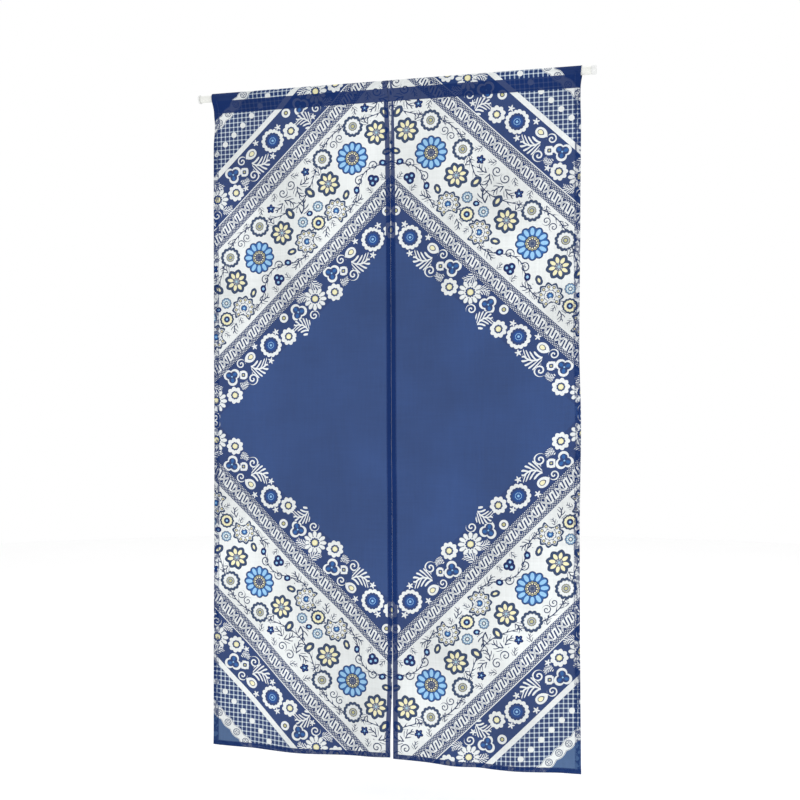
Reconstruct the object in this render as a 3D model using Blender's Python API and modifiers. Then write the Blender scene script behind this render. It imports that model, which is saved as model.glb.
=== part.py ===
"""A noren curtain: two cloth panels side by side, hung by their sewn casings on a slim telescopic rod.

Metres, +Z up. The rod lies along X with the origin at its middle, on its axis, and the front faces -Y.
Each panel is one thin sheet. It starts at the seam behind the rod, goes up over the rod and hangs down
in front, and its side and bottom hems are a little thicker than the rest.
"""

import math

import bpy
import numpy as np

MM = 0.001

# Rod: a tube that slides in a wider one, with a plain cap on each end
ROD_LENGTH = 920 * MM
OUTER_TUBE_RADIUS = 9.5 * MM
INNER_TUBE_RADIUS = 8.0 * MM
TUBE_WALL = 1.1 * MM
SLIDE_GAP = 0.4 * MM
INNER_TUBE_SHOWS = 190 * MM
INNER_TUBE_HIDDEN = 100 * MM
CAP_RADIUS = 10.0 * MM
CAP_STEM = 14 * MM
CAP_EDGE = 1.0 * MM
ROD_SIDES = 24
CAPS = [
    dict(side="left", head=4.0 * MM, tube_radius=INNER_TUBE_RADIUS),
    dict(side="right", head=9.5 * MM, tube_radius=OUTER_TUBE_RADIUS),
]

# Cloth
SHEET = 1.2 * MM
HEM = 2.0 * MM
CLOTH_MIDDLE = 2 * MM
CASING_DEPTH = 47 * MM
SIDE_HEM = 13 * MM
CENTRE_HEM = 11 * MM
BOTTOM_HEM = 11 * MM
HEM_STEP = 0.8 * MM
LAYER_GAP = 0.4 * MM
ROD_CLEARANCE = 0.4 * MM
SEAM_ALLOWANCE = 1.5 * MM
BOTTOM_BOW = 5 * MM

# How far each edge of the cloth is from its middle, in mm, going down from the top fold
EDGES = [
    dict(depth=0, left_outer=-427, left_inner=-2.6, right_inner=-1.6, right_outer=428),
    dict(depth=47, left_outer=-424, left_inner=-2.0, right_inner=-0.8, right_outer=425),
    dict(depth=75, left_outer=-422, left_inner=-0.8, right_inner=0.4, right_outer=425),
    dict(depth=125, left_outer=-425, left_inner=0.6, right_inner=1.9, right_outer=426),
    dict(depth=300, left_outer=-425, left_inner=2.7, right_inner=4.2, right_outer=424.5),
    dict(depth=600, left_outer=-424, left_inner=4.4, right_inner=5.7, right_outer=422),
    dict(depth=760, left_outer=-423, left_inner=5.2, right_inner=6.2, right_outer=425.5),
    dict(depth=1000, left_outer=-423, left_inner=7.0, right_inner=8.1, right_outer=422.5),
    dict(depth=1200, left_outer=-424, left_inner=7.8, right_inner=9.0, right_outer=423),
    dict(depth=1330, left_outer=-424.5, left_inner=6.4, right_inner=8.6, right_outer=424),
    dict(depth=1470, left_outer=-424.5, left_inner=1.0, right_inner=9.4, right_outer=425),
    dict(depth=1520, left_outer=-425, left_inner=0.6, right_inner=9.6, right_outer=425.5),
]

# Depth of each panel's bottom corners
CORNERS = {
    "left": dict(low_x=1505 * MM, high_x=1501.5 * MM),
    "right": dict(low_x=1504 * MM, high_x=1503.5 * MM),
}

# Soft vertical folds: where each crosses the top and the bottom, and how wide and how far forward it is
FOLDS = [
    dict(x_top=-350, x_bottom=-330, width=42, forward=-5.0),
    dict(x_top=-235, x_bottom=-215, width=50, forward=6.0),
    dict(x_top=-110, x_bottom=-100, width=44, forward=-4.5),
    dict(x_top=-20, x_bottom=-30, width=36, forward=3.0),
    dict(x_top=60, x_bottom=75, width=40, forward=-3.5),
    dict(x_top=140, x_bottom=150, width=34, forward=5.0),
    dict(x_top=207, x_bottom=200, width=26, forward=-5.0),
    dict(x_top=300, x_bottom=285, width=46, forward=5.5),
    dict(x_top=385, x_bottom=380, width=32, forward=-4.0),
]
FOLDS_START = 120
FOLDS_FULL = 900

# Grid of the cloth
BACK_ROWS = 4
ARC_ROWS = 8
FRONT_ROWS = 5
HANGING_ROWS = 30
MIDDLE_COLUMNS = 17

ROD_WHITE = (0.86, 0.86, 0.83, 1.0)
CAP_WHITE = (0.78, 0.78, 0.77, 1.0)
CLOTH_NAVY = (0.048, 0.093, 0.246, 1.0)


def empty_file():
    """Removes every object."""
    for item in list(bpy.data.objects):
        bpy.data.objects.remove(item)


def new_collection(name):
    group = bpy.data.collections.new(name)
    bpy.context.scene.collection.children.link(group)
    return group


def new_material(name, colour, roughness):
    material = bpy.data.materials.new(name)
    material.use_nodes = True
    shader = material.node_tree.nodes["Principled BSDF"]
    shader.inputs["Base Color"].default_value = colour
    shader.inputs["Roughness"].default_value = roughness
    shader.inputs["Metallic"].default_value = 0.0
    return material


def new_object(name, points, edges, faces, material, group):
    mesh = bpy.data.meshes.new(name)
    mesh.from_pydata(points, edges, faces)
    mesh.materials.append(material)
    item = bpy.data.objects.new(name, mesh)
    group.objects.link(item)
    return item


def turned(name, profile, closed, material, group):
    """Turns a profile of (radius, height) points about the rod's axis, with its heights along +X."""
    points = [(radius, 0.0, height) for radius, height in profile]
    edges = [(i, i + 1) for i in range(len(points) - 1)]
    if closed:
        edges.append((len(points) - 1, 0))
    item = new_object(name, points, edges, [], material, group)
    item.rotation_euler = (0.0, math.pi / 2, 0.0)
    screw = item.modifiers.new("turn", "SCREW")
    screw.axis = "Z"
    screw.angle = 2 * math.pi
    screw.steps = ROD_SIDES
    screw.render_steps = ROD_SIDES
    screw.use_merge_vertices = True
    screw.merge_threshold = 0.00001
    screw.use_smooth_shade = True
    return item


def tube(name, radius, start, end, material, group):
    """An open tube from start to end along X."""
    bore = radius - TUBE_WALL
    ring = [(radius, end), (radius, start), (bore, start), (bore, end)]
    return turned(name, ring, True, material, group)


def cap(row, material, group):
    """An end cap: a round head with an eased rim, and a stem that plugs the tube."""
    stem_radius = row["tube_radius"] - TUBE_WALL - SLIDE_GAP
    shoulder = ROD_LENGTH / 2 - row["head"]
    end = ROD_LENGTH / 2
    profile = [
        (0.0, end),
        (CAP_RADIUS - CAP_EDGE, end),
        (CAP_RADIUS - 0.3 * CAP_EDGE, end - 0.3 * CAP_EDGE),
        (CAP_RADIUS, end - CAP_EDGE),
        (CAP_RADIUS, shoulder),
        (stem_radius, shoulder),
        (stem_radius, shoulder - CAP_STEM),
        (0.0, shoulder - CAP_STEM),
    ]
    item = turned("end_cap_" + row["side"], profile, False, material, group)
    if row["side"] == "left":
        item.rotation_euler = (0.0, -math.pi / 2, 0.0)
    return item


def rod(group):
    """The telescopic rod: the inner tube on the left, the outer one on the right, and both caps."""
    white = new_material("rod_white", ROD_WHITE, 0.4)
    cap_white = new_material("cap_white", CAP_WHITE, 0.55)
    left_shoulder = -ROD_LENGTH / 2 + CAPS[0]["head"] + SLIDE_GAP
    right_shoulder = ROD_LENGTH / 2 - CAPS[1]["head"] - SLIDE_GAP
    step = -ROD_LENGTH / 2 + INNER_TUBE_SHOWS
    tube("rod_inner_tube", INNER_TUBE_RADIUS, left_shoulder, step + INNER_TUBE_HIDDEN, white, group)
    tube("rod_outer_tube", OUTER_TUBE_RADIUS, step, right_shoulder, white, group)
    for row in CAPS:
        cap(row, cap_white, group)


def ease(t):
    """0 to 1 with a level start and end."""
    t = np.clip(t, 0.0, 1.0)
    return t * t * (3.0 - 2.0 * t)


def edge_at(depth, column):
    """X of one edge of the cloth at each depth, eased between the rows of EDGES."""
    depths = np.array([row["depth"] for row in EDGES]) * MM
    places = np.array([row[column] for row in EDGES]) * MM
    i = np.clip(np.searchsorted(depths, depth) - 1, 0, len(depths) - 2)
    t = ease((depth - depths[i]) / (depths[i + 1] - depths[i]))
    return CLOTH_MIDDLE + places[i] + (places[i + 1] - places[i]) * t


def folds_forward(x, depth):
    """How far the folds bring the cloth forward: a bell across each fold, growing from the casing down."""
    grown = ease((depth / MM - FOLDS_START) / (FOLDS_FULL - FOLDS_START))
    way_down = depth / (1500 * MM)
    total = np.zeros_like(x)
    for fold in FOLDS:
        centre = CLOTH_MIDDLE + (fold["x_top"] + (fold["x_bottom"] - fold["x_top"]) * way_down) * MM
        total += fold["forward"] * MM * np.exp(-(((x - centre) / (fold["width"] * MM)) ** 2))
    return total * grown


def casing_path():
    """The casing's inner face in section, from the seam behind the rod, over it, to the seam in front."""
    radius = OUTER_TUBE_RADIUS + ROD_CLEARANCE
    top = radius + SHEET
    seam = top - CASING_DEPTH
    half_gap = LAYER_GAP / 2
    path = []
    for i in range(BACK_ROWS):
        z = (seam - SEAM_ALLOWANCE) * (1 - i / BACK_ROWS)
        path.append((half_gap + (radius - half_gap) * ease(1 - z / seam), z))
    for i in range(ARC_ROWS + 1):
        angle = math.pi * i / ARC_ROWS
        path.append((radius * math.cos(angle), radius * math.sin(angle)))
    for i in range(1, FRONT_ROWS + 1):
        z = seam * i / FRONT_ROWS
        path.append((-half_gap - (radius - half_gap) * ease(1 - z / seam), z))
    return np.array(path), top


def panel_grid(side):
    """The panel's back face as a grid of points, row by row down the cloth, and which points are hem."""
    outer_first = side == "left"
    low_hem, high_hem = (SIDE_HEM, CENTRE_HEM) if outer_first else (CENTRE_HEM, SIDE_HEM)
    low_edge, high_edge = ("left_outer", "left_inner") if outer_first else ("right_inner", "right_outer")
    across = np.linspace(0.0, 1.0, MIDDLE_COLUMNS)
    path, top = casing_path()
    corners = CORNERS[side]

    def columns(depth):
        """X of each grid point at one depth for each column: low hem, the middle, high hem."""
        low = edge_at(depth, low_edge)
        high = edge_at(depth, high_edge)
        start = low + low_hem + HEM_STEP
        middle = start + (high - high_hem - HEM_STEP - start) * across
        ends = [low, low + low_hem / 2, low + low_hem]
        return np.concatenate([ends, middle, [high - high_hem, high - high_hem / 2, high]])

    rows = [np.column_stack([columns(max(top - z, 0.0)), np.full(MIDDLE_COLUMNS + 6, y),
                             np.full(MIDDLE_COLUMNS + 6, z)]) for y, z in path]
    share = (columns(1.5) - columns(1.5)[0]) / (columns(1.5)[-1] - columns(1.5)[0])
    bottom = corners["low_x"] + (corners["high_x"] - corners["low_x"]) * share
    bottom = bottom + BOTTOM_BOW * np.sin(math.pi * share)
    hem_top = bottom - BOTTOM_HEM - HEM_STEP
    depths = [CASING_DEPTH + (hem_top - CASING_DEPTH) * (i / HANGING_ROWS) for i in range(1, HANGING_ROWS + 1)]
    depths += [bottom - BOTTOM_HEM, bottom - BOTTOM_HEM / 2, bottom]
    for depth in depths:
        x = columns(float(np.mean(depth)))
        y = -LAYER_GAP / 2 - folds_forward(x, depth)
        rows.append(np.column_stack([x, y, top - depth]))
    grid = np.array(rows)
    is_hem = np.zeros(grid.shape[:2], dtype=bool)
    is_hem[:, :3] = True
    is_hem[:, -3:] = True
    is_hem[-3:, :] = True
    return grid, is_hem


def panel(side, material, group):
    """One cloth panel: the grid of its back face, thickened forward, and more so along its hems."""
    grid, is_hem = panel_grid(side)
    rows, cols = is_hem.shape
    faces = [(r * cols + c, (r + 1) * cols + c, (r + 1) * cols + c + 1, r * cols + c + 1)
             for r in range(rows - 1) for c in range(cols - 1)]
    item = new_object("panel_" + side, grid.reshape(-1, 3).tolist(), [], faces, material, group)
    item.data.shade_smooth()
    hem = item.vertex_groups.new(name="hem")
    hem.add(np.flatnonzero(is_hem.ravel()).tolist(), 1.0, "REPLACE")
    solid = item.modifiers.new("thickness", "SOLIDIFY")
    solid.thickness = HEM
    solid.offset = 1.0
    solid.vertex_group = "hem"
    solid.thickness_vertex_group = SHEET / HEM
    solid.use_even_offset = True
    return item


def main():
    empty_file()
    group = new_collection("noren_curtain")
    cloth = new_material("printed_cloth", CLOTH_NAVY, 0.9)
    rod(group)
    for side in ("left", "right"):
        panel(side, cloth, group)


main()
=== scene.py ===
"""Looks of the noren curtain: sheer printed cloth, its topstitching, and the painted rod with its caps.

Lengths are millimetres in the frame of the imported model, and become metres as a mesh is made, but for the
camera, the floor and the lights, which are given in metres.
The cloth hangs as its solids do: the rows of EDGES, the bottom corners and the folds repeat their values.
"""

import math

import bpy
import numpy as np
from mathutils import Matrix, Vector

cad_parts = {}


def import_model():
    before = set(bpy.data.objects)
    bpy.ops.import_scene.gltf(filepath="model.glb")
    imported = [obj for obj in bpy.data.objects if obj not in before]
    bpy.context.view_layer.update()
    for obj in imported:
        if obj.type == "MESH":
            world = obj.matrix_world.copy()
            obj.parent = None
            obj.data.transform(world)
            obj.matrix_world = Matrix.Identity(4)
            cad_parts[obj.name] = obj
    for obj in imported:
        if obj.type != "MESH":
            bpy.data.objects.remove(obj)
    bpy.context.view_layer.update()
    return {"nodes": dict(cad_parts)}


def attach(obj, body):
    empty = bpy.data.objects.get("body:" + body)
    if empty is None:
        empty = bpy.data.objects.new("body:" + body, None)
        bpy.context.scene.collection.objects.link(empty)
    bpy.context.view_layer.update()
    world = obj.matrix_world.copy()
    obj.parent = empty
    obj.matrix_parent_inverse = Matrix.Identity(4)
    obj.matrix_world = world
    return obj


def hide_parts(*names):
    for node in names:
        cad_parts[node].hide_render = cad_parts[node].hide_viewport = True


MM = 0.001

# Hung shape, as in the solids, but that the two inner edges nearly touch until they part near the bottom
CLOTH_MIDDLE = 2.0
TOP_FOLD = 11.1
CASING_DEPTH = 47.0
SIDE_HEM = 13.0
CENTRE_HEM = 11.0
BOTTOM_HEM = 11.0
BOTTOM_BOW = 5.0
BACK_ALLOWANCE = 1.5
EDGES = {
    "depth": [0, 47, 75, 125, 300, 600, 760, 1000, 1200, 1330, 1470, 1520],
    "left_outer": [-427, -424, -422, -425, -425, -424, -423, -423, -424, -424.5, -424.5, -425],
    "left_inner": [-2.3, -1.6, -0.4, 1.1, 3.3, 4.9, 5.5, 7.4, 8.3, 7.6, 3.4, 3.0],
    "right_inner": [-1.9, -1.2, 0.0, 1.5, 3.7, 5.3, 5.9, 7.8, 8.7, 8.9, 9.4, 9.6],
    "right_outer": [428, 425, 425, 426, 424.5, 422, 425.5, 422.5, 423, 424, 425, 425.5],
}
FOLDS = [
    dict(x_top=-350, x_bottom=-330, width=42, forward=-5.0),
    dict(x_top=-235, x_bottom=-215, width=50, forward=6.0),
    dict(x_top=-110, x_bottom=-100, width=44, forward=-4.5),
    dict(x_top=-20, x_bottom=-30, width=36, forward=3.0),
    dict(x_top=60, x_bottom=75, width=40, forward=-3.5),
    dict(x_top=140, x_bottom=150, width=34, forward=5.0),
    dict(x_top=207, x_bottom=200, width=26, forward=-5.0),
    dict(x_top=300, x_bottom=285, width=46, forward=5.5),
    dict(x_top=385, x_bottom=380, width=32, forward=-4.0),
]
FOLDS_START = 120.0
FOLDS_FULL = 900.0
FOLDS_BOTTOM = 1500.0
PANELS = {
    "left": dict(low="left_outer", high="left_inner", low_hem=SIDE_HEM, high_hem=CENTRE_HEM,
                 low_corner=1505.0, high_corner=1501.5),
    "right": dict(low="right_inner", high="right_outer", low_hem=CENTRE_HEM, high_hem=SIDE_HEM,
                  low_corner=1504.0, high_corner=1503.5),
}

# Cloth as it was cut and folded. HANG is how far in front of the rod's axis it hangs, and BACK_SEAM how far
# behind it the back of the casing ends. A turn is how far behind the front a turned-back hem lies, and
# FOLD_ROUND the length of cloth that goes round its fold.
CUT_WIDTH = 427.0
CUT_DROP = 1505.0
HANG = 1.3
BACK_SEAM = 0.5
CASING_RADIUS = 11.0
SIDE_TURN = 0.4
BOTTOM_TURN = 1.0
FOLD_ROUND = 0.9

# Steps of the cloth's line in section, and how far the line runs on past the bottom fold
CASING_STEPS = 60
ARC_STEPS = 120
HANG_STEPS = 80
RUN_ON = 40.0

# Stretch of cloth beside each edge that takes up none of the panel's uneven width
EVEN_EDGE = 20.0

# Cloth counts as turned back this far round a fold, and over this much of the casing's back from its end
TURNED_FROM = 0.5
TURNED_BACK = 33.0

# Creases left by packing: from one point to another, given as x and depth
CREASE_FADE = 30.0
CREASES = [
    dict(start=(207, 545), end=(207, 660), width=4.0, forward=1.2),
    dict(start=(206, 785), end=(204, 945), width=4.0, forward=1.4),
    dict(start=(15, 850), end=(105, 960), width=9.0, forward=1.6),
    dict(start=(-340, 690), end=(-280, 820), width=9.0, forward=1.5),
]

# Ripples beside the seams: how far forward, how long, how far and over what length their pace drifts, and
# how far from the seam they reach. PUCKERS_START is how far below the casing those of the hems set in.
PUCKERS = {
    "side": dict(forward=0.22, ripple=2.1, drift=2.0, drift_length=23.0, reach=7.0),
    "bottom": dict(forward=0.3, ripple=2.3, drift=2.0, drift_length=21.0, reach=8.0),
    "casing": dict(forward=0.35, ripple=3.1, drift=2.5, drift_length=33.0, reach=14.0),
}
PUCKERS_START = 12.0

# How far the right panel's inner edge lies in front of the left one's, and where that starts and stops
SLIT_STEP = 1.0
SLIT_STEP_WIDTH = 14.0
SLIT_STEP_FROM = 60.0
SLIT_STEP_GROWS = 60.0
SLIT_STEP_TO = 1300.0
SLIT_STEP_FADES = 100.0

# Middle of the print
PRINT_X = 7.0
PRINT_DEPTH = 751.0

# Creep of the print up the cloth: the same all over, a climb and a bow that are given at CREEP_SIDE from the
# middle, more climb near one height, more bow lower down, and a stretch below another height
CREEP_ALL = -4.0
CREEP_SIDE = 400.0
CLIMB = 5.0
MORE_CLIMB = 4.5
MORE_CLIMB_Z = -100.0
MORE_CLIMB_SPREAD = 330.0
BOW = 7.0
BOW_GROWTH = 0.0145
STRETCH = 0.012
STRETCH_FROM = -200.0


def ease(t):
    """0 to 1 with a level start and end: three t squared less two t cubed."""
    t = np.clip(t, 0.0, 1.0)
    return t * t * (3.0 - 2.0 * t)


def edge_at(depth, column):
    """X of one edge of the cloth at each depth, eased between the rows of EDGES."""
    depths = np.array(EDGES["depth"], float)
    places = np.array(EDGES[column], float)
    i = np.clip(np.searchsorted(depths, depth) - 1, 0, len(depths) - 2)
    share = ease((depth - depths[i]) / (depths[i + 1] - depths[i]))
    return CLOTH_MIDDLE + places[i] + (places[i + 1] - places[i]) * share


def folds_forward(x, depth):
    """How far the folds bring the cloth forward: a bell across each, growing from the casing down."""
    grown = ease((depth - FOLDS_START) / (FOLDS_FULL - FOLDS_START))
    total = 0.0
    for fold in FOLDS:
        centre = CLOTH_MIDDLE + fold["x_top"] + (fold["x_bottom"] - fold["x_top"]) * depth / FOLDS_BOTTOM
        total = total + fold["forward"] * np.exp(-(((x - centre) / fold["width"]) ** 2))
    return total * grown


def creases_forward(x, depth):
    """How far the creases bring the cloth forward: a narrow bell across each, fading at its ends."""
    total = 0.0
    for crease in CREASES:
        start = np.array(crease["start"], float)
        way = np.array(crease["end"], float) - start
        length = np.hypot(*way)
        along = ((x - start[0]) * way[0] + (depth - start[1]) * way[1]) / length
        across = ((x - start[0]) * way[1] - (depth - start[1]) * way[0]) / length
        ends = ease(along / CREASE_FADE + 0.5) * ease((length - along) / CREASE_FADE + 0.5)
        total = total + crease["forward"] * ends * np.exp(-((across / crease["width"]) ** 2))
    return total


def print_creep(x, z):
    """How far up the cloth the print has crept from true.

    It climbs to the right, most near the middle, and bows up towards both sides, most near the bottom.
    """
    side = x / CREEP_SIDE
    climb = side * (CLIMB + MORE_CLIMB * np.exp(-(((z - MORE_CLIMB_Z) / MORE_CLIMB_SPREAD) ** 2)))
    bow = side * side * (BOW - BOW_GROWTH * z)
    return climb + bow + CREEP_ALL + STRETCH * np.maximum(STRETCH_FROM - z, 0.0)


def section():
    """The cloth's line in section as (length from the top fold, y, z), with lengths below zero at the back.

    It goes up behind the rod, over it in a half circle, and eases in to the seam in front, from where it
    hangs straight down.
    """
    seam = TOP_FOLD - CASING_DEPTH
    back_z = np.linspace(seam - BACK_ALLOWANCE, 0.0, CASING_STEPS)[:-1]
    back_y = BACK_SEAM + (CASING_RADIUS - BACK_SEAM) * ease(1.0 - back_z / seam)
    angle = np.linspace(0.0, math.pi, ARC_STEPS + 1)
    front_z = np.linspace(0.0, seam, CASING_STEPS)[1:]
    front_y = -HANG - (CASING_RADIUS - HANG) * ease(1.0 - front_z / seam)
    hang_z = np.linspace(seam, TOP_FOLD - CUT_DROP - RUN_ON, HANG_STEPS)[1:]
    y = np.concatenate([back_y, CASING_RADIUS * np.cos(angle), front_y, np.full(len(hang_z), -HANG)])
    z = np.concatenate([back_z, CASING_RADIUS * np.sin(angle), front_z, hang_z])
    length = np.concatenate([[0.0], np.cumsum(np.hypot(np.diff(y), np.diff(z)))])
    top = length[len(back_z) + ARC_STEPS // 2]
    return length - top, y, z


# Lengths from the top fold: the back of the casing ends at BACK_END, below zero. Under the casing a length is
# ARC_EXTRA more than the depth there.
SECTION = section()
BACK_END = SECTION[0][0]
ARC_EXTRA = SECTION[0][-1] - (TOP_FOLD - SECTION[2][-1])
SEAM_LENGTH = CASING_DEPTH + ARC_EXTRA
BOTTOM_FOLD = CUT_DROP + ARC_EXTRA


def inward(length):
    """Unit normal of the section, into the casing and backwards below it, as (y, z).

    It is square to the line's direction over the millimetre about each length.
    """
    lengths, y, z = SECTION
    step_y = np.interp(length + 0.5, lengths, y) - np.interp(length - 0.5, lengths, y)
    step_z = np.interp(length + 0.5, lengths, z) - np.interp(length - 0.5, lengths, z)
    size = np.hypot(step_y, step_z)
    return -step_z / size, step_y / size


def puckers(seam, place, away, shift=0.0):
    """Small ripples beside a seam: a sine along it whose pace drifts, under a bell across it."""
    row = PUCKERS[seam]
    pace = place / row["ripple"] + row["drift"] * np.sin(place / row["drift_length"] + shift)
    return row["forward"] * np.sin(pace + shift) * np.exp(-((away / row["reach"]) ** 2))


def hang(side, across, down, proud=0.0):
    """Where points of the flat cloth hang, and what the print needs to know about them.

    across is the distance from the panel's low-x fold, below 0 and above CUT_WIDTH on its turned-back side
    hems. down is the length from the top fold, below 0 behind the rod and above BOTTOM_FOLD on the turned-up
    bottom hem. A turned part lies behind the front, parted from it along the section's inward normal.
    """
    panel = PANELS[side]
    across, down = np.broadcast_arrays(np.asarray(across, float), np.asarray(down, float))
    side_turn = np.maximum(-across, across - CUT_WIDTH)
    folded_across = np.where(across > CUT_WIDTH, 2 * CUT_WIDTH - across, np.abs(across))
    bottom_turn = down - BOTTOM_FOLD
    folded_down = np.where(bottom_turn > 0, 2 * BOTTOM_FOLD - down, down)
    in_front = folded_down > 0

    y = np.interp(folded_down, SECTION[0], SECTION[1])
    z = np.interp(folded_down, SECTION[0], SECTION[2])
    inward_y, inward_z = inward(folded_down)

    share = folded_across / CUT_WIDTH
    corner = panel["low_corner"] + (panel["high_corner"] - panel["low_corner"]) * share
    drop = corner + BOTTOM_BOW * np.sin(math.pi * np.clip(share, 0, 1))
    seam = TOP_FOLD - CASING_DEPTH
    z = np.where(z < seam, seam + (z - seam) * (drop - CASING_DEPTH) / (CUT_DROP - CASING_DEPTH), z)
    depth = TOP_FOLD - z
    low = edge_at(depth, panel["low"])
    high = edge_at(depth, panel["high"])
    taken_up = (high - low - CUT_WIDTH) * ease((folded_across - EVEN_EDGE) / (CUT_WIDTH - 2 * EVEN_EDGE))
    from_low = folded_across + taken_up
    x = low + from_low
    from_high = high - x

    forward = puckers("side", depth, from_low - panel["low_hem"])
    forward = forward + puckers("side", depth, from_high - panel["high_hem"], shift=1.0)
    forward = forward + puckers("bottom", x, drop - depth - BOTTOM_HEM)
    forward = forward * ease((depth - CASING_DEPTH) / PUCKERS_START)
    forward = forward + puckers("casing", x, depth - CASING_DEPTH)
    if side == "right":
        grows = ease((depth - SLIT_STEP_FROM) / SLIT_STEP_GROWS)
        fades = ease((SLIT_STEP_TO - depth) / SLIT_STEP_FADES)
        forward = forward + SLIT_STEP * grows * fades * np.exp(-((from_low / SLIT_STEP_WIDTH) ** 2))
    forward = (forward + folds_forward(x, depth) + creases_forward(x, depth)) * in_front

    side_back = SIDE_TURN * ease(side_turn / FOLD_ROUND)
    bottom_back = ease(bottom_turn / FOLD_ROUND)
    back = side_back + bottom_back * (BOTTOM_TURN - 2 * side_back) - proud
    y = y + inward_y * back - forward
    z = z + inward_z * back
    rise = PRINT_DEPTH - np.where(folded_down < SEAM_LENGTH, folded_down - ARC_EXTRA, depth)
    turned = (side_turn > TURNED_FROM) | (bottom_turn > TURNED_FROM) | (down < BACK_END + TURNED_BACK)
    return {
        "place": np.stack([x, y, z], axis=-1) * MM,
        "print": np.stack([x - PRINT_X, rise - print_creep(x, rise), depth], axis=-1),
        "hem": np.stack([from_low, from_high, drop - depth], axis=-1),
        "layer": np.where(turned, -1.0, 1.0),
    }


def mesh_object(name, points, faces, material):
    """A mesh from a flat array of points and one of corner numbers, shaded smooth."""
    mesh = bpy.data.meshes.new(name)
    mesh.from_pydata(points.reshape(-1, 3).tolist(), [], faces.tolist())
    mesh.polygons.foreach_set("use_smooth", np.ones(len(faces), bool))
    mesh.materials.append(material)
    mesh.validate()
    mesh.update()
    item = bpy.data.objects.new(name, mesh)
    bpy.context.scene.collection.objects.link(item)
    return item


def grid_faces(rows, cols):
    """Corner numbers of a grid's quads, counter-clockwise seen from the front as rows go down."""
    corner = np.arange(rows * cols).reshape(rows, cols)
    quads = np.stack([corner[:-1, :-1], corner[1:, :-1], corner[1:, 1:], corner[:-1, 1:]], axis=-1)
    return quads.reshape(-1, 4)


def put(mesh, name, kind, domain, values):
    """Stores an array as an attribute of the mesh."""
    field = "vector" if kind == "FLOAT_VECTOR" else "value"
    attribute = mesh.attributes.new(name, kind, domain)
    attribute.data.foreach_set(field, np.ascontiguousarray(values, dtype=np.float32).ravel())


# Inks of the print, as they look in daylight
WHITE = (233, 237, 237)
NAVY = (58, 75, 119)
FIELD = (61, 82, 129)
SLATE = (64, 79, 108)
DEEP = (38, 54, 102)
BLUE = (61, 103, 163)
MID_BLUE = (50, 82, 146)
SKY = (155, 202, 239)
PALE = (166, 200, 216)
CHECK = (166, 181, 200)
CHECK_DARK = (54, 69, 110)
YELLOW = (242, 237, 195)
CREAM = (222, 214, 170)
OLIVE = (192, 190, 140)
GREY = (116, 126, 144)
LINE = (72, 84, 114)
TWIG = (56, 68, 100)
BACKING = (46, 61, 106)
CORNER = (84, 108, 146)
TOP_CORNER = (52, 66, 108)

# Stops that a ramp is shared out into, with room for one to each kind of flower
RAMP_STOPS = 32.0

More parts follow.
